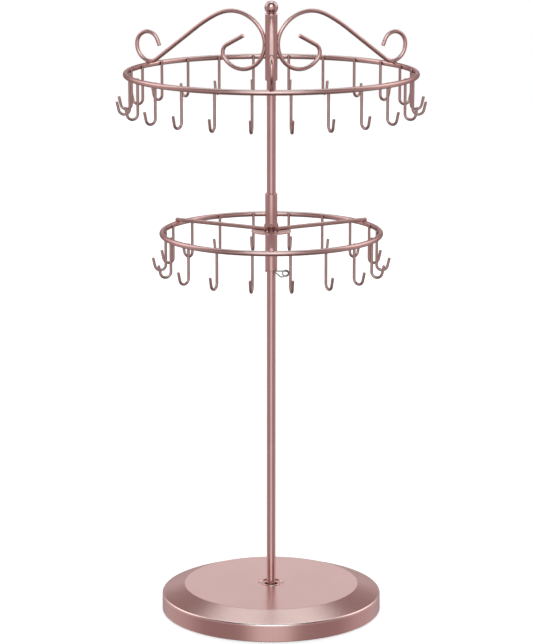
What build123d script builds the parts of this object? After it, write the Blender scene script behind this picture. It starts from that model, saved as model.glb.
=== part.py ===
from build123d import *
from math import asin, atan2, ceil, cos, degrees, hypot, pi, radians, sin, tan
import os

os.makedirs("parts", exist_ok=True)

# Two-tier turning stand for hanging necklaces.
# Millimetres. +Z is up, -Y is the front, and the origin is the middle of the face that it rests on.
# Azimuths are in degrees, counted from +X towards +Y.

# Round weighted base
base_radius = 87.0
rim_height = 14.5  # floor to the top of the upright rim
chamfer_width = 18.0  # the sloping band between the rim and the flat top
chamfer_rise = 6.5
shell_thickness = 1.0
rim_gap = 0.6  # daylight under the rim
hem_width = 4.0  # the rim's lower edge, folded in under the weight
rim_edge_radius = 1.5
hem_edge_radius = 0.5
top_edge_radius = 1.5
recess_radius = 10.3  # shallow dish round the pole's foot
recess_depth = 1.2
recess_draft = 0.8  # how far the dish's wall leans in
bead_radius = 1.05  # rolled bead round the shell's middle hole
hole_radius = 5.2

# Weight, pad and screw inside the base
weight_thickness = 5.0
weight_clearance = 1.0
boss_radius = 9.0
socket_depth = 10.0  # the pole's foot stands this deep in the weight's boss
socket_clearance = 0.05
pad_clearance = 0.5
screw_radius = 2.0
screw_clearance = 0.15
screw_head_radius = 3.9
screw_head_height = 2.4
screw_head_round = 0.8
screw_head_clearance = 0.4
screw_drive_radius = 1.3
screw_drive_depth = 1.4
screw_drive_sides = 6
screw_end_chamfer = 0.5
screw_end_gap = 2.0  # left free in the thread past the screw's end
counterbore_depth = 3.0
thread_depth = 12.0
thread_clearance = 0.05

# Pole and sleeves
pole_radius = 3.5
pole_chamfer = 0.6
sleeve_radius = 4.75
running_clearance = 0.08  # radial, between the pole and each turning sleeve
sleeve_chamfer = 0.35
upper_sleeve_length = 51.75
upper_sleeve_drop = 5.3  # how far it reaches below the ring's centreline
lower_sleeve_length = 61.0
lower_sleeve_drop = 29.6
end_wall = 5.0  # solid top end of the upper sleeve
shoulder_radius = 1.3
pole_top_gap = 0.2

# Ball finial
ball_radius = 5.3
neck_radius = 3.35
neck_height = 0.1
stud_radius = 2.0
stud_clearance = 0.05

# Rings
ring_wire = 4.2
upper_ring_radius = 112.0
upper_ring_height = 430.0
lower_ring_radius = 85.0
lower_ring_height = 305.5
weld_bite = 0.45  # how far two wires sink into each other at a resistance weld

# Hooks
hook_wire = 2.2
hook_drop = 29.5  # ring centreline to the lowest point of the hook's centreline
hook_bend_radius = 4.3
hook_tip_length = 6.65
hook_flare = 13.0  # degrees that the tip leans outwards
hook_top = 1.6  # the leg ends this far above the ring's centreline
hook_end_radius = 0.35
upper_hook_count = 24
lower_hook_count = 18

# Scrolls on the upper ring, three at equal steps from the front
scroll_wire = 3.2
scroll_end_radius = 0.5
eye_radius = 20.25  # large loop beside the sleeve
eye_height = 22.05  # its centre, above the ring's centreline
eye_start = -39.0  # degrees on the loop where the tighter inner bend begins
tight_bend_radius = 7.1
tail_heading = -28.0
tail_length = 16.8
arch_radius = 30.9
arch_start = 142.5  # degrees on the loop where the arch begins
brow_radius = 46.2  # wider bend outside the arch
brow_start = 71.7  # degrees on the arch where it begins
lead_radius = 135.0  # slight bend that leads into the straight run
lead_start = 62.2  # degrees on the wider bend where it begins
foot_radius = 10.0  # bend that stands on the ring
foot_inset = 2.0  # its centre, inside the ring's centreline
rise_heading = 15.05
curl_rise_radius = 13.0
curl_rise_turn = 82.0
curl_radius = 9.9
curl_turn = 150.7
curl_tail_length = 4.8

# Spokes and hub plate of the lower tier
spoke_wire = 3.2
spoke_bite = 0.85  # how far a spoke sinks into the ring that it lies on
spoke_end_radius = 0.5
hub_radius = 15.5
hub_thickness = 0.8
hub_bite = 0.55  # how far the spokes sink into the plate
hub_hole_clearance = 0.05
weld_bead_radius = 2.3
weld_bead_drop = 0.1  # bead's middle below the spoke's centreline
weld_bead_offset = 34.0  # degrees beside the spoke
weld_bead_standoff = 0.75  # bead's middle outside the sleeve's surface
weld_bead_sides = {"front": (-1, 1), "right": (1,), "left": (-1,)}  # which sides of each spoke have a bead
arm_count = 3

# Spring wire clip that carries the lower tier
clip_wire = 1.1
clip_hole_clearance = 0.1
clip_gap = 0.2  # clip to the lower sleeve's end
clip_tip = 5.0  # straight leg past the pole's axis, on the left
clip_reach = 11.2  # pole's axis to the middle of the eye
clip_tilt = 55.0  # degrees that the clip hangs down at the front
clip_eye_radius = 2.35
clip_eye_pitch = 1.65  # spacing of the eye's turns, towards the front
clip_eye_turn = 518.0
clip_bump_back = 3.45  # the bump's corner, left of the middle of the eye
clip_bump_drop = 6.3  # the same corner below the straight leg
clip_bump_radius = 1.6
clip_end_azimuth = -49.0  # where the bumped leg ends beside the pole
clip_end_drop = 0.1  # the same end below the straight leg
clip_pole_clearance = 0.3
clip_end_radius = 0.25
clip_step = 0.25  # spacing of the points on which its gap to itself is measured
clip_near_length = 4.5  # points closer along the wire than this are neighbours

front = -90.0  # azimuth of the front

# Heights and places that follow from the sizes above
base_height = rim_height + chamfer_rise
flat_top_radius = base_radius - chamfer_width
weight_bottom = rim_gap + shell_thickness
weight_top = weight_bottom + weight_thickness
boss_top = base_height - recess_depth - shell_thickness
pole_foot = boss_top - socket_depth
bore_radius = pole_radius + running_clearance
upper_sleeve_bottom = upper_ring_height - upper_sleeve_drop
upper_sleeve_top = upper_sleeve_bottom + upper_sleeve_length
upper_bore_top = upper_sleeve_top - end_wall
pole_top = upper_bore_top - pole_top_gap
lower_sleeve_bottom = lower_ring_height - lower_sleeve_drop
lower_sleeve_top = lower_sleeve_bottom + lower_sleeve_length
clip_height = lower_sleeve_bottom - clip_gap - clip_wire / 2
spoke_height = lower_ring_height + ring_wire / 2 + spoke_wire / 2 - spoke_bite
hub_top = spoke_height - spoke_wire / 2 + hub_bite
arm_azimuths = {"front": front, "right": front + 360 / arm_count, "left": front - 360 / arm_count}


def on_circle(centre, radius, angle):
    """Point of a circle in a plane's own two coordinates."""
    return (centre[0] + radius * cos(radians(angle)), centre[1] + radius * sin(radians(angle)))


def step_along(start, heading, length):
    """Point reached from start by going a length along a heading in degrees."""
    return on_circle(start, length, heading)


def radial_plane(azimuth):
    """Upright plane through the pole's axis: x is the distance from the axis, y is the height."""
    across = (sin(radians(azimuth)), -cos(radians(azimuth)), 0)
    return Plane(origin=(0, 0, 0), x_dir=(cos(radians(azimuth)), sin(radians(azimuth)), 0), z_dir=across)


def round_wire_ends(part, radius):
    """Rounds the rims of the two flat ends of a wire."""
    flat_ends = part.faces().filter_by(GeomType.PLANE)
    fillet(flat_ends.edges(), radius)


def least_gap(points, wire, skip):
    """Least distance between the surfaces of two stretches of one wire, its neighbours along it left out."""
    gaps = []
    for first in range(len(points)):
        for second in range(first + skip, len(points)):
            gaps.append((points[first] - points[second]).length - wire)
    return min(gaps)


# Base shell: one pressed steel sheet with an upright rim, hemmed under the weight
slope = atan2(chamfer_rise, chamfer_width)
inner_rim_radius = base_radius - shell_thickness
inner_rim_height = rim_height + shell_thickness * (sin(slope) - 1) / cos(slope)
inner_flat_height = base_height - shell_thickness
inner_flat_radius = inner_rim_radius - (inner_flat_height - inner_rim_height) * chamfer_width / chamfer_rise
dish_floor = base_height - recess_depth
dish_floor_radius = recess_radius - recess_draft

with BuildPart() as base_shell:
    with BuildSketch(Plane.XZ) as shell_section:
        with BuildLine():
            Polyline(
                (base_radius - hem_width, rim_gap),
                (base_radius, rim_gap),
                (base_radius, rim_height),
                (flat_top_radius, base_height),
                (recess_radius, base_height),
                (dish_floor_radius, dish_floor),
                (hole_radius, dish_floor),
                (hole_radius, dish_floor - shell_thickness),
                (recess_radius, dish_floor - shell_thickness),
                (recess_radius + shell_thickness, inner_flat_height),
                (inner_flat_radius, inner_flat_height),
                (inner_rim_radius, inner_rim_height),
                (inner_rim_radius, rim_gap + shell_thickness),
                (base_radius - hem_width, rim_gap + shell_thickness),
                close=True,
            )
        make_face()
        for corner, radius in (
            ((base_radius, rim_gap), hem_edge_radius),
            ((base_radius, rim_height), rim_edge_radius),
            ((flat_top_radius, base_height), top_edge_radius),
            ((recess_radius, base_height), hem_edge_radius),
        ):
            fillet(shell_section.vertices().sort_by_distance((*corner, 0))[0], radius)
    revolve(axis=Axis.Z)
    with BuildSketch(Plane.XZ) as bead_section:
        with Locations((hole_radius + bead_radius, dish_floor)):
            Circle(bead_radius)
        with Locations((hole_radius + bead_radius, dish_floor - shell_thickness - bead_radius)):
            Rectangle(2 * bead_radius, 2 * bead_radius, mode=Mode.SUBTRACT)
    revolve(axis=Axis.Z)
base_shell.part.label = "base_shell"
export_step(base_shell.part, "parts/base_shell.step")

# Weight: a cast iron disc with a boss that the pole stands in
with BuildPart() as base_weight:
    with BuildSketch(Plane.XY.offset(weight_bottom)):
        Circle(inner_rim_radius - weight_clearance)
    extrude(amount=weight_thickness)
    with BuildSketch(Plane.XY.offset(weight_top)):
        Circle(boss_radius)
    extrude(amount=boss_top - weight_top)
    with Locations((0, 0, boss_top)):
        Hole(pole_radius + socket_clearance, depth=socket_depth)
    with BuildSketch(Plane.XY.offset(weight_bottom)):
        Circle(screw_radius + screw_clearance)
    extrude(amount=boss_top - weight_bottom, mode=Mode.SUBTRACT)
    with BuildSketch(Plane.XY.offset(weight_bottom)):
        Circle(screw_head_radius + screw_head_clearance)
    extrude(amount=counterbore_depth, mode=Mode.SUBTRACT)
base_weight.part.label = "base_weight"
export_step(base_weight.part, "parts/base_weight.step")

# Pad: a full disc of foam inside the hem, which the stand rests on
with BuildPart() as base_pad:
    with BuildSketch():
        Circle(base_radius - hem_width - pad_clearance)
    extrude(amount=weight_bottom)
base_pad.part.label = "base_pad"
export_step(base_pad.part, "parts/base_pad.step")

# Pan-head screw, up through the weight into the pole's foot
screw_seat = weight_bottom + counterbore_depth
screw_length = pole_foot - screw_seat + thread_depth - screw_end_gap

with BuildPart() as base_screw:
    with BuildSketch(Plane.XY.offset(screw_seat - screw_head_height)):
        Circle(screw_head_radius)
    extrude(amount=screw_head_height)
    fillet(base_screw.edges().group_by(Axis.Z)[0], screw_head_round)
    with BuildSketch(Plane.XY.offset(screw_seat)):
        Circle(screw_radius)
    extrude(amount=screw_length)
    chamfer(base_screw.edges().group_by(Axis.Z)[-1], screw_end_chamfer)
    with BuildSketch(Plane.XY.offset(screw_seat - screw_head_height)):
        RegularPolygon(screw_drive_radius, screw_drive_sides)
    extrude(amount=screw_drive_depth, mode=Mode.SUBTRACT)
base_screw.part.label = "base_screw"
export_step(base_screw.part, "parts/base_screw.step")

# Pole: one round steel rod, tapped at the foot and cross-drilled for the clip
with BuildPart() as pole:
    with BuildSketch(Plane.XY.offset(pole_foot)):
        Circle(pole_radius)
    extrude(amount=pole_top - pole_foot)
    chamfer(pole.edges().group_by(Axis.Z)[-1], pole_chamfer)
    with BuildSketch(Plane.XY.offset(pole_foot)):
        Circle(screw_radius + thread_clearance)
    extrude(amount=thread_depth, mode=Mode.SUBTRACT)
    with BuildSketch(Plane.YZ):
        with Locations((0, clip_height)):
            Circle(clip_wire / 2 + clip_hole_clearance)
    extrude(amount=2 * pole_radius, both=True, mode=Mode.SUBTRACT)
pole.part.label = "pole"
export_step(pole.part, "parts/pole.step")

# Clip: one spring wire with a straight leg through the pole, an eye of one and a half turns
# and a bumped leg that ends in front of the pole
clip_tilt_angle = radians(clip_tilt)
clip_across = Vector(1, 0, 0)
clip_down = Vector(0, -cos(clip_tilt_angle), -sin(clip_tilt_angle))
clip_out = Vector(0, -sin(clip_tilt_angle), cos(clip_tilt_angle))
clip_middle = Vector(0, 0, clip_height)


def clip_eye_point(turned):
    """Point of the eye's helix, counted in degrees from the end of the straight leg."""
    angle = radians(turned)
    across = clip_reach + clip_eye_radius * sin(angle)
    down = clip_eye_radius * (1 - cos(angle))
    return clip_middle + clip_across * across + clip_down * down + clip_out * (clip_eye_pitch * turned / 360)


def clip_eye_way(turned):
    """Direction of the eye's helix at the same place."""
    angle = radians(turned)
    climb = clip_eye_pitch / (2 * pi * clip_eye_radius)
    return (clip_across * cos(angle) + clip_down * sin(angle) + clip_out * climb).normalized()


def biarc_joint(start, start_way, end, end_way):
    """Where two arcs that run smoothly from start to end meet, and their direction there."""
    apart = end - start
    bend = 2 * (1 - start_way.dot(end_way))
    along = apart.dot(start_way + end_way)
    reach = ((along**2 + bend * apart.dot(apart)) ** 0.5 - along) / bend
    corners = (start + start_way * reach, end - end_way * reach)
    return (corners[0] + corners[1]) / 2, (corners[1] - corners[0]).normalized()


clip_eye_exit = clip_eye_point(clip_eye_turn)
clip_eye_climb = clip_eye_pitch * clip_eye_turn / 360
clip_bump = clip_middle + clip_across * (clip_reach - clip_bump_back)
clip_bump += clip_down * clip_bump_drop + clip_out * clip_eye_climb
clip_bump_way = (clip_bump - clip_eye_exit).normalized()
clip_end_place = on_circle((0, 0), pole_radius + clip_wire / 2 + clip_pole_clearance, clip_end_azimuth)
clip_end = Vector(*clip_end_place, clip_height - clip_end_drop)
clip_end_way = (clip_end - clip_bump).normalized()
clip_bump_trim = clip_bump_radius * tan(radians(clip_bump_way.get_angle(clip_end_way)) / 2)
clip_bump_start = clip_bump - clip_bump_way * clip_bump_trim
clip_bump_end = clip_bump + clip_end_way * clip_bump_trim
clip_knots = [
    (clip_eye_point(0), clip_across),
    (clip_eye_point(180), clip_eye_way(180)),
    (clip_eye_point(360), clip_eye_way(360)),
    (clip_eye_exit, clip_bump_way),
]

with BuildPart() as support_clip:
    with BuildLine() as clip_path:
        Line(clip_middle - clip_across * clip_tip, clip_eye_point(0))
        for (start, start_way), (end, end_way) in zip(clip_knots, clip_knots[1:]):
            joint, joint_way = biarc_joint(start, start_way, end, end_way)
            TangentArc(start, joint, tangent=start_way)
            TangentArc(joint, end, tangent=joint_way)
        Line(clip_eye_exit, clip_bump_start)
        TangentArc(clip_bump_start, clip_bump_end, tangent=clip_bump_way)
        Line(clip_bump_end, clip_end)
    with BuildSketch(Plane(origin=clip_path.line @ 0, z_dir=clip_path.line % 0)):
        Circle(clip_wire / 2)
    sweep(path=clip_path.wire())
    round_wire_ends(support_clip, clip_end_radius)
support_clip.part.label = "support_clip"
export_step(support_clip.part, "parts/support_clip.step")

clip_line = clip_path.wire()
clip_steps = ceil(clip_line.length / clip_step)
clip_points = [clip_line @ (n / clip_steps) for n in range(clip_steps + 1)]
clip_self_gap = least_gap(clip_points, clip_wire, ceil(clip_near_length / clip_step))
print("clip wire length", round(clip_line.length, 2), "least gap to itself", round(clip_self_gap, 2))

# Upper sleeve: a turned tube with a solid rounded top, which bears on the pole's end
with BuildPart() as upper_sleeve:
    with BuildSketch(Plane.XY.offset(upper_sleeve_bottom)):
        Circle(sleeve_radius)
        Circle(bore_radius, mode=Mode.SUBTRACT)
    extrude(amount=upper_sleeve_length)
    chamfer(upper_sleeve.edges().group_by(Axis.Z)[0], sleeve_chamfer)
    with BuildSketch(Plane.XY.offset(upper_bore_top)):
        Circle(sleeve_radius)
    extrude(amount=end_wall)
    fillet(upper_sleeve.edges().group_by(Axis.Z)[-1], shoulder_radius)
    with BuildSketch(Plane.XY.offset(upper_bore_top)):
        Circle(stud_radius + stud_clearance)
    extrude(amount=end_wall, mode=Mode.SUBTRACT)
upper_sleeve.part.label = "upper_sleeve"
export_step(upper_sleeve.part, "parts/upper_sleeve.step")

# Finial: a ball on a short neck, screwed into the sleeve's top by its stud
ball_height = upper_sleeve_top + neck_height + (ball_radius**2 - neck_radius**2) ** 0.5

with BuildPart() as finial:
    with Locations((0, 0, ball_height)):
        Sphere(ball_radius)
    split(bisect_by=Plane.XY.offset(upper_sleeve_top + neck_height), keep=Keep.TOP)
    with BuildSketch(Plane.XY.offset(upper_sleeve_top)):
        Circle(neck_radius)
    extrude(amount=neck_height)
    with BuildSketch(Plane.XY.offset(upper_bore_top)):
        Circle(stud_radius)
    extrude(amount=end_wall)
finial.part.label = "finial"
export_step(finial.part, "parts/finial.step")

# Lower sleeve: an open tube that turns on the pole and rests on the clip
with BuildPart() as lower_sleeve:
    with BuildSketch(Plane.XY.offset(lower_sleeve_bottom)):
        Circle(sleeve_radius)
        Circle(bore_radius, mode=Mode.SUBTRACT)
    extrude(amount=lower_sleeve_length)
    chamfer(lower_sleeve.edges().group_by(Axis.Z)[0], sleeve_chamfer)
    chamfer(lower_sleeve.edges().group_by(Axis.Z)[-1], sleeve_chamfer)
lower_sleeve.part.label = "lower_sleeve"
export_step(lower_sleeve.part, "parts/lower_sleeve.step")

# Hub plate: a thin disc under the spokes
with BuildPart() as hub_plate:
    with BuildSketch(Plane.XY.offset(hub_top - hub_thickness)):
        Circle(hub_radius)
        Circle(sleeve_radius + hub_hole_clearance, mode=Mode.SUBTRACT)
    extrude(amount=hub_thickness)
hub_plate.part.label = "hub_plate"
export_step(hub_plate.part, "parts/hub_plate.step")


def make_ring(name, radius, height):
    """One closed ring of round wire."""
    with BuildPart() as ring:
        with BuildSketch(Plane.XZ):
            with Locations((radius, height)):
                Circle(ring_wire / 2)
        revolve(axis=Axis.Z)
    ring.part.label = name
    export_step(ring.part, f"parts/{name}.step")


def make_hooks(prefix, count, ring_radius, ring_height):
    """J-hooks welded to the ring's inner side, open outwards, either side of the front."""
    leg = ring_radius - ring_wire / 2 - hook_wire / 2 + weld_bite
    bend_centre = (leg + hook_bend_radius, ring_height - hook_drop + hook_bend_radius)
    bend_end = 360 - hook_flare
    tip_start = on_circle(bend_centre, hook_bend_radius, bend_end)
    tip_heading = bend_end + 90
    for number in range(count):
        azimuth = front + (number + 0.5) * 360 / count
        name = f"{prefix}_{number + 1:02d}"
        with BuildPart() as hook:
            with BuildLine(radial_plane(azimuth)) as hook_path:
                Line((leg, ring_height + hook_top), (leg, bend_centre[1]))
                CenterArc(bend_centre, hook_bend_radius, 180, 180 - hook_flare)
                Line(tip_start, step_along(tip_start, tip_heading, hook_tip_length))
            with BuildSketch(Plane(origin=hook_path.line @ 0, z_dir=hook_path.line % 0)):
                Circle(hook_wire / 2)
            sweep(path=hook_path.wire())
            round_wire_ends(hook, hook_end_radius)
        hook.part.label = name
        export_step(hook.part, f"parts/{name}.step")


make_ring("upper_ring", upper_ring_radius, upper_ring_height)
make_ring("lower_ring", lower_ring_radius, lower_ring_height)
make_hooks("upper_hook", upper_hook_count, upper_ring_radius, upper_ring_height)
make_hooks("lower_hook", lower_hook_count, lower_ring_radius, lower_ring_height)

# Scrolls: bent wires that stand on the upper ring and lean on the upper sleeve.
# Each is a tail, a tight bend, the eye, the arch in three bends, a straight run down, the foot bend and the curl.
eye_centre = (sleeve_radius + scroll_wire / 2 - weld_bite + eye_radius, upper_ring_height + eye_height)
tight_centre = on_circle(eye_centre, eye_radius - tight_bend_radius, eye_start)
tight_start = tail_heading + 90
tail_end = on_circle(tight_centre, tight_bend_radius, tight_start)
arch_centre = on_circle(eye_centre, eye_radius - arch_radius, arch_start)
brow_centre = on_circle(arch_centre, arch_radius - brow_radius, brow_start)
lead_centre = on_circle(brow_centre, brow_radius - lead_radius, lead_start)
foot_standoff = foot_radius + ring_wire / 2 + scroll_wire / 2 - weld_bite
foot_height = upper_ring_height + (foot_standoff**2 - foot_inset**2) ** 0.5
foot_centre = (upper_ring_radius - foot_inset, foot_height)
centres_apart = hypot(foot_centre[0] - lead_centre[0], foot_centre[1] - lead_centre[1])
centres_heading = degrees(atan2(foot_centre[1] - lead_centre[1], foot_centre[0] - lead_centre[0]))
run_heading = centres_heading - degrees(asin((lead_radius + foot_radius) / centres_apart))
lead_end = run_heading + 90
foot_start = run_heading - 90
foot_end = rise_heading - 90
curl_rise_centre = on_circle(foot_centre, foot_radius - curl_rise_radius, foot_end)
curl_start = foot_end + curl_rise_turn
curl_centre = on_circle(curl_rise_centre, curl_rise_radius - curl_radius, curl_start)
curl_end = curl_start + curl_turn
curl_tail = on_circle(curl_centre, curl_radius, curl_end)

for side, azimuth in arm_azimuths.items():
    name = f"scroll_{side}"
    with BuildPart() as scroll:
        with BuildLine(radial_plane(azimuth)) as scroll_path:
            Line(step_along(tail_end, tail_heading + 180, tail_length), tail_end)
            CenterArc(tight_centre, tight_bend_radius, tight_start, eye_start - tight_start)
            CenterArc(eye_centre, eye_radius, eye_start, arch_start - 360 - eye_start)
            CenterArc(arch_centre, arch_radius, arch_start, brow_start - arch_start)
            CenterArc(brow_centre, brow_radius, brow_start, lead_start - brow_start)
            CenterArc(lead_centre, lead_radius, lead_start, lead_end - lead_start)
            Line(
                on_circle(lead_centre, lead_radius, lead_end),
                on_circle(foot_centre, foot_radius, foot_start),
            )
            CenterArc(foot_centre, foot_radius, foot_start, foot_end - foot_start)
            CenterArc(curl_rise_centre, curl_rise_radius, foot_end, curl_rise_turn)
            CenterArc(curl_centre, curl_radius, curl_start, curl_turn)
            Line(curl_tail, step_along(curl_tail, curl_end + 90, curl_tail_length))
        with BuildSketch(Plane(origin=scroll_path.line @ 0, z_dir=scroll_path.line % 0)):
            Circle(scroll_wire / 2)
        sweep(path=scroll_path.wire())
        round_wire_ends(scroll, scroll_end_radius)
    scroll.part.label = name
    export_step(scroll.part, f"parts/{name}.step")

# Spokes: straight wires from the lower sleeve over the lower ring, with weld beads beside them at the sleeve
spoke_start = sleeve_radius - weld_bite
spoke_length = lower_ring_radius + ring_wire / 2 - spoke_start

for side, azimuth in arm_azimuths.items():
    name = f"spoke_{side}"
    along = Vector(cos(radians(azimuth)), sin(radians(azimuth)), 0)
    with BuildPart() as spoke:
        with BuildSketch(Plane(origin=along * spoke_start + Vector(0, 0, spoke_height), z_dir=along)):
            Circle(spoke_wire / 2)
        extrude(amount=spoke_length)
        outer_end = spoke.faces().filter_by(GeomType.PLANE).sort_by_distance((0, 0, spoke_height))[-1]
        fillet(outer_end.edges(), spoke_end_radius)
        for bead_side in weld_bead_sides[side]:
            bead_azimuth = azimuth + bead_side * weld_bead_offset
            bead_place = on_circle((0, 0), sleeve_radius + weld_bead_standoff, bead_azimuth)
            bead_middle = (*bead_place, spoke_height - weld_bead_drop)
            with Locations(Location(bead_middle, (0, 0, bead_azimuth))):
                Sphere(weld_bead_radius)
        with BuildSketch(Plane.XY.offset(spoke_height - hub_radius)):
            Circle(sleeve_radius - weld_bite)
        extrude(amount=2 * hub_radius, mode=Mode.SUBTRACT)
        split(bisect_by=Plane.XY.offset(hub_top - hub_bite), keep=Keep.TOP)
    spoke.part.label = name
    export_step(spoke.part, f"parts/{name}.step")

print("scroll run heading", round(run_heading, 2), "pole length", round(pole_top - pole_foot, 1))
print("total height", round(ball_height + ball_radius, 1))
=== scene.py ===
import math
import random

import bmesh
import bpy
from mathutils import Matrix, Vector


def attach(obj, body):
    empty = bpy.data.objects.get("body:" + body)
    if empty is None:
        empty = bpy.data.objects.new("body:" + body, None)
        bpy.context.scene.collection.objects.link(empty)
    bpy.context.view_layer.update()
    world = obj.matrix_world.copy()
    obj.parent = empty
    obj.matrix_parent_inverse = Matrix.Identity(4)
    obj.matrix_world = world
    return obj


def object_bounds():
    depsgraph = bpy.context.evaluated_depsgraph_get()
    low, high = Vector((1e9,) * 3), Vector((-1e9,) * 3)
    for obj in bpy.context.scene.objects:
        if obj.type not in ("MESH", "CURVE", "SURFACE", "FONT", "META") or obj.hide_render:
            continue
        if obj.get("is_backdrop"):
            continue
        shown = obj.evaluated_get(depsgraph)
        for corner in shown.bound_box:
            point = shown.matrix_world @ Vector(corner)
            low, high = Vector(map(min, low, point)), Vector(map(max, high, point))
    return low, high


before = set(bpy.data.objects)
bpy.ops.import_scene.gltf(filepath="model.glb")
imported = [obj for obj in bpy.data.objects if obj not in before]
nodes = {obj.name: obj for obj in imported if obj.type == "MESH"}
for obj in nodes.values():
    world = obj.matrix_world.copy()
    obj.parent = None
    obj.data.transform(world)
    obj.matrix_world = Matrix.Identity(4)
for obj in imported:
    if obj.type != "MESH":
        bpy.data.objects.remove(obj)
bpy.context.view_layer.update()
print("frame loaded,", len(nodes), "nodes")

# Looks of a two-tier turning stand for necklaces. Everything is in metres, in the part's own frame:
# +Z up, -Y the front, origin under the middle of the base.
mm = 0.001
front = -90  # azimuth of the front, degrees from +X towards +Y
armAzimuths = (front, front + 120, front + 240)


def hexColour(code):
    # an sRGB hex value as the linear colour that the shader wants
    parts = [int(code[i:i + 2], 16) / 255 for i in (1, 3, 5)]
    return tuple(c / 12.92 if c <= 0.04045 else ((c + 0.055) / 1.055) ** 2.4 for c in parts) + (1,)


def addNode(tree, kind, settings=None, links=None):
    # one node with its settings and its incoming links; a number or a socket's name picks an input
    node = tree.nodes.new(kind)
    for name, value in (settings or {}).items():
        if name == "stops":
            ramp = node.color_ramp
            while len(ramp.elements) < len(value):
                ramp.elements.new(0.5)
            for element, (place, colour) in zip(ramp.elements, value):
                element.position = place
                element.color = colour
        elif isinstance(name, int) or name in node.inputs:
            node.inputs[name].default_value = value
        else:
            setattr(node, name, value)
    for name, source in (links or {}).items():
        tree.links.new(source, node.inputs[name])
    return node


# Camera, at the photograph's place and angle
cameraSetup = {
    "place": (-0.0037, -2.0818, 0.6921),
    "lookDown": 12.399,  # degrees below level
    "lens": 151.94,  # mm, for the 36 mm long side of the picture
}
cameraData = bpy.data.cameras.new("studioCamera")
cameraData.lens = cameraSetup["lens"]
cameraObject = bpy.data.objects.new("studioCamera", cameraData)
cameraObject.location = cameraSetup["place"]
cameraObject.rotation_euler = (math.radians(90 - cameraSetup["lookDown"]), 0, 0)
bpy.context.scene.collection.objects.link(cameraObject)
bpy.context.scene.camera = cameraObject
bpy.context.scene.view_settings.view_transform = "Standard"
print("camera placed")

# Studio: dim warm walls, white panels in front, at both sides and behind, faint warm ones towards
# the back corners, and a softbox overhead. Angles are in degrees, around from the front and up from
# level; levels are brightness, where 1 is white.
studio = {
    "walls": (  # height, level
        (-90, 0.06),
        (-65, 0.04),
        (-42, 0.11),
        (-12, 0.39),
        (15, 0.33),
        (42, 0.05),
        (65, 0.04),
        (90, 0.06),
    ),
    "wallTint": (1.28, 1.0, 1.0),
    "panels": {  # level added, from and to around and in height, and how soft those edges are
        "front": {
            "level": 0.62, "around": (-20, 22), "height": (-31, 60), "soft": (20, 24),
            "tint": (0.95, 1.05, 1.05),
        },
        "frontHigh": {
            "level": 1.70, "around": (-20, 26), "height": (21, 56), "soft": (24, 18),
            "tint": (0.86, 1.16, 1.16),
        },
        "sides": {
            "level": 1.14, "around": (89, 142), "height": (11, 60), "soft": (20, 22),
            "tint": (0.95, 1.06, 1.06),
        },
        "lowSides": {
            "level": 0.32, "around": (88, 150), "height": (-85, -14), "soft": (34, 24),
            "tint": (1.0, 1.0, 1.0),
        },
        "backSides": {
            "level": 0.17, "around": (100, 158), "height": (22, 62), "soft": (20, 20),
            "tint": (1.5, 0.75, 0.75),
        },
        "back": {
            "level": 0.71, "around": (168, 200), "height": (8, 26), "soft": (12, 12),
            "tint": (1.0, 1.0, 1.0),
        },
    },
    "softboxPower": 26.5,
    "softboxTint": (0.82, 1.0, 1.0),
    "softboxSize": (2.0, 2.75),
    "softboxPlace": (0.0, 1.36, 3.26),
    "softboxAim": (0.0, 0.0, 0.2),
}
world = bpy.data.worlds.new("studio")
bpy.context.scene.world = world
world.use_nodes = True
tree = world.node_tree
tree.nodes.clear()
direction = addNode(tree, "ShaderNodeTexCoord")
axes = addNode(tree, "ShaderNodeSeparateXYZ", links={0: direction.outputs["Generated"]})
sideways = addNode(tree, "ShaderNodeMath", {"operation": "ABSOLUTE"}, {0: axes.outputs["X"]})
toFront = addNode(tree, "ShaderNodeMath", {"operation": "MULTIPLY", 1: -1.0}, {0: axes.outputs["Y"]})
around = addNode(
    tree, "ShaderNodeMath", {"operation": "ARCTAN2"}, {0: sideways.outputs[0], 1: toFront.outputs[0]}
)
height = addNode(tree, "ShaderNodeMath", {"operation": "ARCSINE"}, {0: axes.outputs["Z"]})
angles = {
    name: addNode(tree, "ShaderNodeMath", {"operation": "DEGREES"}, {0: angle.outputs[0]})
    for name, angle in (("around", around), ("height", height))
}
wallPlace = addNode(
    tree, "ShaderNodeMapRange", {"From Min": -90.0, "From Max": 90.0}, {"Value": angles["height"].outputs[0]}
)
wallStops = [
    ((up + 90) / 180, (*(level * tint for tint in studio["wallTint"]), 1)) for up, level in studio["walls"]
]
walls = addNode(tree, "ShaderNodeValToRGB", {"stops": wallStops}, {0: wallPlace.outputs[0]})
light = walls.outputs[0]
for panel in studio["panels"].values():
    shape = None
    for name, soft in zip(("around", "height"), panel["soft"]):
        low, high = panel[name]
        for edge, inside in ((low, low + soft), (high, high - soft)):
            middle = (edge + inside) / 2
            fade = addNode(
                tree, "ShaderNodeMapRange",
                {"interpolation_type": "SMOOTHSTEP", "From Min": 2 * edge - middle, "From Max": middle},
                {"Value": angles[name].outputs[0]},
            )
            if shape is None:
                shape = fade.outputs[0]
            else:
                shape = addNode(
                    tree, "ShaderNodeMath", {"operation": "MULTIPLY"}, {0: shape, 1: fade.outputs[0]}
                ).outputs[0]
    panelLight = (*(panel["level"] * tint for tint in panel["tint"]), 1)
    light = addNode(
        tree, "ShaderNodeMix", {"data_type": "RGBA", "blend_type": "ADD", 7: panelLight},
        {"Factor": shape, 6: light},
    ).outputs[2]
wallLight = addNode(tree, "ShaderNodeBackground", links={"Color": light})
whiteBehind = addNode(tree, "ShaderNodeBackground", {"Color": (1, 1, 1, 1)})
rays = addNode(tree, "ShaderNodeLightPath")
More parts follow.
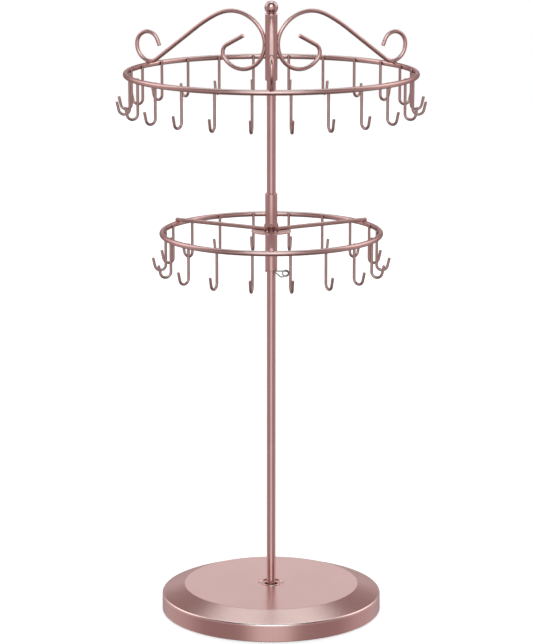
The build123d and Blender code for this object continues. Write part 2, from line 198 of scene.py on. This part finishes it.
seen = addNode(
    tree, "ShaderNodeMixShader",
    links={0: rays.outputs["Is Camera Ray"], 1: wallLight.outputs[0], 2: whiteBehind.outputs[0]},
)
addNode(tree, "ShaderNodeOutputWorld", links={"Surface": seen.outputs[0]})

softboxData = bpy.data.lights.new("softbox", "AREA")
softboxData.shape = "RECTANGLE"
softboxData.size, softboxData.size_y = studio["softboxSize"]
softboxData.energy = studio["softboxPower"]
softboxData.color = studio["softboxTint"]
softbox = bpy.data.objects.new("softbox", softboxData)
softbox.location = studio["softboxPlace"]
softboxWay = Vector(studio["softboxAim"]) - softbox.location
softbox.rotation_euler = softboxWay.to_track_quat("-Z", "Y").to_euler()
softbox.visible_camera = False
bpy.context.scene.collection.objects.link(softbox)

# Floor: white table that keeps the stand's soft shadow
floorSetup = {
    "radius": 3.0, "sides": 96, "colour": "#F2F2F2",
    "lift": 0.50,  # light added for the camera alone, so that the table is white and keeps the shadow
}
bm = bmesh.new()
bmesh.ops.create_circle(bm, cap_ends=True, segments=floorSetup["sides"], radius=floorSetup["radius"])
floorMesh = bpy.data.meshes.new("studioFloor")
bm.to_mesh(floorMesh)
bm.free()
floorObject = bpy.data.objects.new("studioFloor", floorMesh)
bpy.context.scene.collection.objects.link(floorObject)
floorPaint = bpy.data.materials.new("matt white table")
floorPaint.use_nodes = True
tree = floorPaint.node_tree
tree.nodes.clear()
table = addNode(tree, "ShaderNodeBsdfDiffuse", {"Color": hexColour(floorSetup["colour"])})
rays = addNode(tree, "ShaderNodeLightPath")
lift = addNode(
    tree, "ShaderNodeMath", {"operation": "MULTIPLY", 1: floorSetup["lift"]},
    {0: rays.outputs["Is Camera Ray"]},
)
glow = addNode(tree, "ShaderNodeEmission", links={"Strength": lift.outputs[0]})
both = addNode(tree, "ShaderNodeAddShader", links={0: table.outputs[0], 1: glow.outputs[0]})
addNode(tree, "ShaderNodeOutputMaterial", links={"Surface": both.outputs[0]})
floorMesh.materials.append(floorPaint)
floorObject.visible_glossy = False  # the metal mirrors the studio below it too, as in the photograph
floorObject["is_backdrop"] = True
print("studio lit")


# Satin rose gold lacquer: a clear tinted lacquer with fine metal flake over polished steel.
# The flake gives the soft metallic glow, the clear top a paler sheen, and the spray a faint orange peel.
# Sizes are in mm, and clouds are the slow changes of tone across a piece.
lacquerGrain = {
    "flakeStops": (0.32, 0.68), "flakeDetail": 2.0, "flakeRoughness": 0.7,
    "cloudStops": (0.3, 0.7), "cloudDetail": 3.0, "cloudRoughness": 0.55,
    "peelDetail": 1.0, "peelDepth": 0.02,
    "glossRange": (0.3, 0.7), "glossSpread": 0.03,
    "coatIor": 1.5,
}


def makeLacquer(name, look):
    paint = bpy.data.materials.new(name)
    paint.use_nodes = True
    tree = paint.node_tree
    tree.nodes.clear()
    place = addNode(tree, "ShaderNodeTexCoord")
    grain = lacquerGrain
    cloud = addNode(
        tree, "ShaderNodeTexNoise",
        {
            "Scale": 1 / (look["cloudSize"] * mm),
            "Detail": grain["cloudDetail"], "Roughness": grain["cloudRoughness"],
        },
        {"Vector": place.outputs["Object"]},
    )
    flake = addNode(
        tree, "ShaderNodeTexNoise",
        {
            "Scale": 1 / (look["flakeSize"] * mm),
            "Detail": grain["flakeDetail"], "Roughness": grain["flakeRoughness"],
        },
        {"Vector": place.outputs["Object"]},
    )
    peel = addNode(
        tree, "ShaderNodeTexNoise", {"Scale": 1 / (look["peelSize"] * mm), "Detail": grain["peelDetail"]},
        {"Vector": place.outputs["Object"]},
    )
    flakeColours = (hexColour(look["flakeDark"]), hexColour(look["flakeLight"]))
    flakeTone = addNode(
        tree, "ShaderNodeValToRGB", {"stops": list(zip(grain["flakeStops"], flakeColours))},
        {0: flake.outputs[0]},
    )
    cloudColours = (hexColour(look["cloudDark"]), (1, 1, 1, 1))
    cloudTone = addNode(
        tree, "ShaderNodeValToRGB", {"stops": list(zip(grain["cloudStops"], cloudColours))},
        {0: cloud.outputs[0]},
    )
    tone = addNode(
        tree, "ShaderNodeMix", {"data_type": "RGBA", "blend_type": "MULTIPLY", "Factor": 1.0},
        {6: flakeTone.outputs[0], 7: cloudTone.outputs[0]},
    )
    satin = addNode(
        tree, "ShaderNodeMapRange",
        {
            "From Min": grain["glossRange"][0], "From Max": grain["glossRange"][1],
            "To Min": look["roughness"] - grain["glossSpread"],
            "To Max": look["roughness"] + grain["glossSpread"],
        },
        {"Value": flake.outputs[0]},
    )
    skin = addNode(
        tree, "ShaderNodeBump", {"Strength": look["peelStrength"], "Distance": grain["peelDepth"] * mm},
        {"Height": peel.outputs[0]},
    )
    colour = tone.outputs[2]
    gloss = satin.outputs[0]
    if "edge" in look:
        # the pressed edge is drawn paler, a painted highlight line along the rim's top edge, and is also
        # glossier; reach and core are the distances from the edge's middle at which that starts and is
        # complete
        edge = look["edge"]
        spot = addNode(tree, "ShaderNodeSeparateXYZ", links={0: place.outputs["Object"]})
        flat = addNode(
            tree, "ShaderNodeVectorMath", {"operation": "MULTIPLY", 1: (1, 1, 0)},
            {0: place.outputs["Object"]},
        )
        fromAxis = addNode(tree, "ShaderNodeVectorMath", {"operation": "LENGTH"}, {0: flat.outputs[0]})
        profile = addNode(
            tree, "ShaderNodeCombineXYZ", links={"X": fromAxis.outputs["Value"], "Z": spot.outputs["Z"]}
        )
        edgePlace = (edge["radius"] * mm, 0, edge["height"] * mm)
        fromEdge = addNode(
            tree, "ShaderNodeVectorMath", {"operation": "DISTANCE", 1: edgePlace}, {0: profile.outputs[0]}
        )
        # mask of the painted highlight along the rim's top edge
        thin = addNode(
            tree, "ShaderNodeMapRange", {"From Min": edge["reach"] * mm, "From Max": edge["core"] * mm},
            {"Value": fromEdge.outputs["Value"]},
        )
        colour = addNode(
            tree, "ShaderNodeMix", {"data_type": "RGBA", 7: hexColour(edge["pale"])},
            {"Factor": thin.outputs[0], 6: colour},
        ).outputs[2]
        gloss = addNode(
            tree, "ShaderNodeMapRange", {"To Max": edge["roughness"]},
            {"Value": thin.outputs[0], "To Min": gloss},
        ).outputs[0]
    shader = addNode(
        tree, "ShaderNodeBsdfPrincipled",
        {
            "Metallic": 1.0, "Specular Tint": hexColour(look["edgeTint"]),
            "Coat Weight": look["coat"], "Coat Roughness": look["coatRoughness"],
            "Coat IOR": grain["coatIor"],
        },
        {"Base Color": colour, "Roughness": gloss, "Normal": skin.outputs[0]},
    )
    addNode(tree, "ShaderNodeOutputMaterial", links={"Surface": shader.outputs[0]})
    return paint


baseLacquer = makeLacquer("rose gold lacquer on pressed steel", {
    "flakeDark": "#D3AAA5", "flakeLight": "#D8AFAA",
    "flakeSize": 0.9,  # drawn coarser than the real 0.05 mm flake
    "cloudDark": "#FAF7F7", "cloudSize": 30.0,
    "peelSize": 1.8, "peelStrength": 0.05,
    "roughness": 0.30, "coat": 0.6, "coatRoughness": 0.2, "edgeTint": "#FFFFFF",
    # painted highlight: a paler band along the rim's top edge
    "edge": {
        "radius": 86.6, "height": 14.2, "reach": 1.6, "core": 0.6, "pale": "#EFD0CC", "roughness": 0.22,
    },
})
tubeLacquer = makeLacquer("rose gold lacquer on steel tube", {
    "flakeDark": "#D4AEA9", "flakeLight": "#DDB8B3", "flakeSize": 0.6,
    "cloudDark": "#F8F4F4", "cloudSize": 22.0,
    "peelSize": 1.5, "peelStrength": 0.10,
    "roughness": 0.24, "coat": 1.0, "coatRoughness": 0.10, "edgeTint": "#C8A8A6",
})
plateLacquer = makeLacquer("rose gold lacquer on stamped sheet", {
    "flakeDark": "#E2B8B3", "flakeLight": "#EAC1BC", "flakeSize": 0.6,
    "cloudDark": "#F8F4F4", "cloudSize": 12.0,
    "peelSize": 1.5, "peelStrength": 0.05,
    "roughness": 0.50, "coat": 0.5, "coatRoughness": 0.40, "edgeTint": "#FFFFFF",
})
wireLacquer = makeLacquer("rose gold lacquer on steel wire", {
    "flakeDark": "#E0BAB6", "flakeLight": "#E9C3BF", "flakeSize": 0.5,
    "cloudDark": "#F5F0F0", "cloudSize": 14.0,
    "peelSize": 1.2, "peelStrength": 0.10,
    "roughness": 0.32, "coat": 0.6, "coatRoughness": 0.18, "edgeTint": "#8A6462",
})
hookLacquer = makeLacquer("rose gold lacquer on thin steel wire", {
    "flakeDark": "#C0A29E", "flakeLight": "#C9ABA7", "flakeSize": 0.5,
    "cloudDark": "#F5F0F0", "cloudSize": 14.0,
    "peelSize": 1.2, "peelStrength": 0.10,
    "roughness": 0.34, "coat": 0.5, "coatRoughness": 0.20, "edgeTint": "#8A6462",
})
weldLacquer = makeLacquer("rose gold lacquer pooled on welds", {
    "flakeDark": "#A87670", "flakeLight": "#BE8C86", "flakeSize": 0.5,
    "cloudDark": "#EDE4E4", "cloudSize": 3.0,
    "peelSize": 0.7, "peelStrength": 0.5,
    "roughness": 0.32, "coat": 0.8, "coatRoughness": 0.15, "edgeTint": "#8A6462",
})
# Darker, rougher lacquer for skins over the round beads: painted shade
beadShadePaint = makeLacquer("darkened lacquer painted as shade on weld beads", {
    "flakeDark": "#8C5853", "flakeLight": "#A4716B", "flakeSize": 0.5,
    "cloudDark": "#EDE4E4", "cloudSize": 3.0,
    "peelSize": 0.7, "peelStrength": 0.3,
    "roughness": 0.50, "coat": 0.3, "coatRoughness": 0.40, "edgeTint": "#C8A8A6",
})
# Pale glossy lacquer for small spots at the foot of the front beads: painted highlight
beadHighlightPaint = makeLacquer("pale lacquer painted as highlight at the foot of a weld", {
    "flakeDark": "#F0D2CE", "flakeLight": "#F8DCD8", "flakeSize": 0.5,
    "cloudDark": "#F8F4F4", "cloudSize": 3.0,
    "peelSize": 0.7, "peelStrength": 0.1,
    "roughness": 0.35, "coat": 1.0, "coatRoughness": 0.15, "edgeTint": "#FFFFFF",
})
# Near-black red lacquer for the crease spots: painted shade in the crevices between wires and under the
# spokes
creaseShadePaint = makeLacquer("dark lacquer painted as shade in weld creases", {
    "flakeDark": "#4A201F", "flakeLight": "#653230", "flakeSize": 0.5,
    "cloudDark": "#EDE4E4", "cloudSize": 3.0,
    "peelSize": 0.7, "peelStrength": 0.5,
    "roughness": 0.42, "coat": 0.4, "coatRoughness": 0.25, "edgeTint": "#8A6462",
})


# Bare metals: drawn spring steel, bright zinc plate and grey cast iron
metalGrain = {"stops": (0.3, 0.7), "detail": 4.0, "roughness": 0.6, "wearSpread": 0.06}


def makeBareMetal(name, look):
    metal = bpy.data.materials.new(name)
    metal.use_nodes = True
    tree = metal.node_tree
    tree.nodes.clear()
    place = addNode(tree, "ShaderNodeTexCoord")
    grain = addNode(
        tree, "ShaderNodeTexNoise",
        {
            "Scale": 1 / (look["grainSize"] * mm),
            "Detail": metalGrain["detail"], "Roughness": metalGrain["roughness"],
        },
        {"Vector": place.outputs["Object"]},
    )
    colours = (hexColour(look["dark"]), hexColour(look["light"]))
    tone = addNode(
        tree, "ShaderNodeValToRGB", {"stops": list(zip(metalGrain["stops"], colours))}, {0: grain.outputs[0]}
    )
    wear = addNode(
        tree, "ShaderNodeMapRange",
        {
            "From Min": metalGrain["stops"][0], "From Max": metalGrain["stops"][1],
            "To Min": look["roughness"] - metalGrain["wearSpread"],
            "To Max": look["roughness"] + metalGrain["wearSpread"],
        },
        {"Value": grain.outputs[0]},
    )
    relief = addNode(
        tree, "ShaderNodeBump", {"Strength": look["relief"], "Distance": look["reliefDepth"] * mm},
        {"Height": grain.outputs[0]},
    )
    shader = addNode(
        tree, "ShaderNodeBsdfPrincipled", {"Metallic": 1.0},
        {"Base Color": tone.outputs[0], "Roughness": wear.outputs[0], "Normal": relief.outputs[0]},
    )
    addNode(tree, "ShaderNodeOutputMaterial", links={"Surface": shader.outputs[0]})
    return metal


springSteel = makeBareMetal("drawn spring steel", {  # bright grey, with faint drawing marks
    "dark": "#8E8A88", "light": "#B9B4B1", "grainSize": 0.4,
    "roughness": 0.26, "relief": 0.2, "reliefDepth": 0.02,
})
zincPlate = makeBareMetal("bright zinc plate", {  # bluish white, slightly cloudy from the bath
    "dark": "#A9ADB3", "light": "#C9CDD2", "grainSize": 0.8,
    "roughness": 0.3, "relief": 0.15, "reliefDepth": 0.02,
})
castIron = makeBareMetal("sand-cast iron", {  # dark grey, pebbly from the sand mould
    "dark": "#2C2B2B", "light": "#4A4846", "grainSize": 1.1,
    "roughness": 0.62, "relief": 0.9, "reliefDepth": 0.25,
})

# EVA foam: dull charcoal sheet with fine closed cells
foamLook = {
    "dark": "#1D1C1D", "light": "#343233", "cellStops": (0.1, 0.7), "cellSize": 0.6,
    "roughness": 0.9, "relief": 0.6, "reliefDepth": 0.1,
}
evaFoam = bpy.data.materials.new("closed-cell EVA foam")
evaFoam.use_nodes = True
tree = evaFoam.node_tree
tree.nodes.clear()
place = addNode(tree, "ShaderNodeTexCoord")
cells = addNode(
    tree, "ShaderNodeTexVoronoi", {"Scale": 1 / (foamLook["cellSize"] * mm)},
    {"Vector": place.outputs["Object"]},
)
cellColours = (hexColour(foamLook["dark"]), hexColour(foamLook["light"]))
cellTone = addNode(
    tree, "ShaderNodeValToRGB", {"stops": list(zip(foamLook["cellStops"], cellColours))},
    {0: cells.outputs["Distance"]},
)
cellRelief = addNode(
    tree, "ShaderNodeBump", {"Strength": foamLook["relief"], "Distance": foamLook["reliefDepth"] * mm},
    {"Height": cells.outputs["Distance"]},
)
foamShader = addNode(
    tree, "ShaderNodeBsdfPrincipled", {"Roughness": foamLook["roughness"]},
    {"Base Color": cellTone.outputs[0], "Normal": cellRelief.outputs[0]},
)
addNode(tree, "ShaderNodeOutputMaterial", links={"Surface": foamShader.outputs[0]})

finishes = {
    "rose_gold_base": baseLacquer,
    "rose_gold_tube": tubeLacquer,
    "rose_gold_wire": wireLacquer,
    "cast_iron": castIron,
    "foam_pad": evaFoam,
    "zinc_steel": zincPlate,
    "spring_steel": springSteel,
}
for name, node in nodes.items():
    for materialSlot in node.material_slots:
        if name == "hub_plate":
            materialSlot.material = plateLacquer
        elif "_hook_" in name:
            materialSlot.material = hookLacquer
        else:
            materialSlot.material = finishes[materialSlot.material.name.split(".")[0]]
print("finishes on", len(nodes), "nodes")


# Weld spots: small pooled beads where two wires meet, and spots of painted shade and painted highlight
# beside them, each slightly different.
# A place is an azimuth in degrees and, in mm, how far it lies from the axis, beside that azimuth's
# line and up.
spotSubdivisions = 3


def makeSpots(name, places, look, body):
    shake = random.Random(look["seed"])
    bm = bmesh.new()
    for azimuth, radius, across, z in places:
        turn = Matrix.Rotation(math.radians(azimuth), 4, "Z")
        vary = look["vary"]
        sizes = [half * mm * shake.uniform(1 - vary, 1 + vary) for half in look["halfSizes"]]
        middle = turn @ Vector((radius * mm, across * mm, z * mm))
        stretch = Matrix.Translation(middle) @ turn @ Matrix.Diagonal((*sizes, 1))
        bmesh.ops.create_icosphere(bm, subdivisions=spotSubdivisions, radius=1.0, matrix=stretch)
    for face in bm.faces:
        face.smooth = True
    mesh = bpy.data.meshes.new(name)
    bm.to_mesh(mesh)
    bm.free()
    mesh.materials.append(look["finish"])
    spots = bpy.data.objects.new(name, mesh)
    bpy.context.scene.collection.objects.link(spots)
    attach(spots, body)


# Dark spots in the crevices either side of each hook's leg, where it meets the ring: painted shade
hookCreaseShade = {
    "upper": {"count": 24, "ring": 112.0, "height": 430.0, "seed": 4},
    "lower": {"count": 18, "ring": 85.0, "height": 305.5, "seed": 9},
    "inside": 2.2,  # the crease, inside the ring's centreline
    "across": 1.08,  # either side of the hook's leg
    "drop": 0.1,
    "halfSizes": (0.4, 0.45, 0.85),  # mm outwards, along the ring and up
}
for tier in ("upper", "lower"):
    ring = hookCreaseShade[tier]
    makeSpots(
        f"{tier}_hook_crease_shade",
        [
            (
                front + (k + 0.5) * 360 / ring["count"], ring["ring"] - hookCreaseShade["inside"],
                side * hookCreaseShade["across"], ring["height"] - hookCreaseShade["drop"],
            )
            for k in range(ring["count"]) for side in (-1, 1)
        ],
        {"seed": ring["seed"], "halfSizes": hookCreaseShade["halfSizes"], "vary": 0.1, "finish": creaseShadePaint},
        f"{tier}_tier",
    )

armWelds = {  # radius, across, height, half sizes outwards, across and up, all in mm
    "scroll_foot_welds": {
        "body": "upper_tier", "places": ((112.0, 0.0, 432.0),), "halfSizes": (2.2, 1.9, 0.8), "seed": 2,
    },
    "scroll_sleeve_welds": {
        "body": "upper_tier", "places": ((4.95, 0.0, 452.05),), "halfSizes": (0.8, 1.8, 2.6), "seed": 3,
    },
    "spoke_ring_welds": {
        "body": "lower_tier", "places": ((85.0, 0.0, 307.2),), "halfSizes": (1.8, 2.1, 0.75), "seed": 5,
    },
    "spoke_plate_welds": {
        "body": "lower_tier", "places": ((14.2, 0.0, 307.35),), "halfSizes": (1.2, 1.9, 0.6), "seed": 6,
    },
    "spoke_sleeve_welds": {
        "body": "lower_tier", "places": ((5.0, 0.0, 310.9),), "halfSizes": (1.2, 1.5, 2.3), "seed": 7,
    },
}
for name, weld in armWelds.items():
    makeSpots(
        name, [(azimuth, *place) for azimuth in armAzimuths for place in weld["places"]],
        {"seed": weld["seed"], "halfSizes": weld["halfSizes"], "vary": 0.1, "finish": weldLacquer},
        weld["body"],
    )

beads = {  # the round beads at the lower sleeve, beside is in degrees from the spoke
    "radius": 5.5, "beside": 34, "height": 308.25, "halfSizes": (2.34, 2.34, 2.34),
    "sides": ((-1, 1), (1,), (-1,)),  # which sides of the front, right and left spoke have a bead
    "runs": {"radius": 6.75, "across": 3.1, "height": 307.55, "halfSizes": (0.5, 1.15, 0.55)},
}
# Skins a little larger than the round beads beside the spokes, drawn darker: painted shade
makeSpots(
    "spoke_bead_shade_skins",
    [
        (azimuth + side * beads["beside"], beads["radius"], 0, beads["height"])
        for azimuth, sides in zip(armAzimuths, beads["sides"]) for side in sides
    ],
    {"seed": 11, "halfSizes": beads["halfSizes"], "vary": 0.01, "finish": beadShadePaint}, "lower_tier",
)
# Small pale spots at the lower front of the two front beads: painted highlight
runs = beads["runs"]
makeSpots(
    "spoke_bead_highlights",
    [(front, runs["radius"], side * runs["across"], runs["height"]) for side in (-1, 1)],
    {"seed": 12, "halfSizes": runs["halfSizes"], "vary": 0.05, "finish": beadHighlightPaint}, "lower_tier",
)
# Dark strips along each spoke's underside where it meets the plate: painted shade
plateCreaseShade = {"middle": 10.6, "across": 1.3, "height": 307.5, "halfSizes": (5.0, 0.45, 0.55)}
makeSpots(
    "spoke_plate_crease_shade",
    [
        (azimuth, plateCreaseShade["middle"], side * plateCreaseShade["across"], plateCreaseShade["height"])
        for azimuth in armAzimuths for side in (-1, 1)
    ],
    {"seed": 13, "halfSizes": plateCreaseShade["halfSizes"], "vary": 0.05, "finish": creaseShadePaint}, "lower_tier",
)
print("welds made")

low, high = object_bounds()
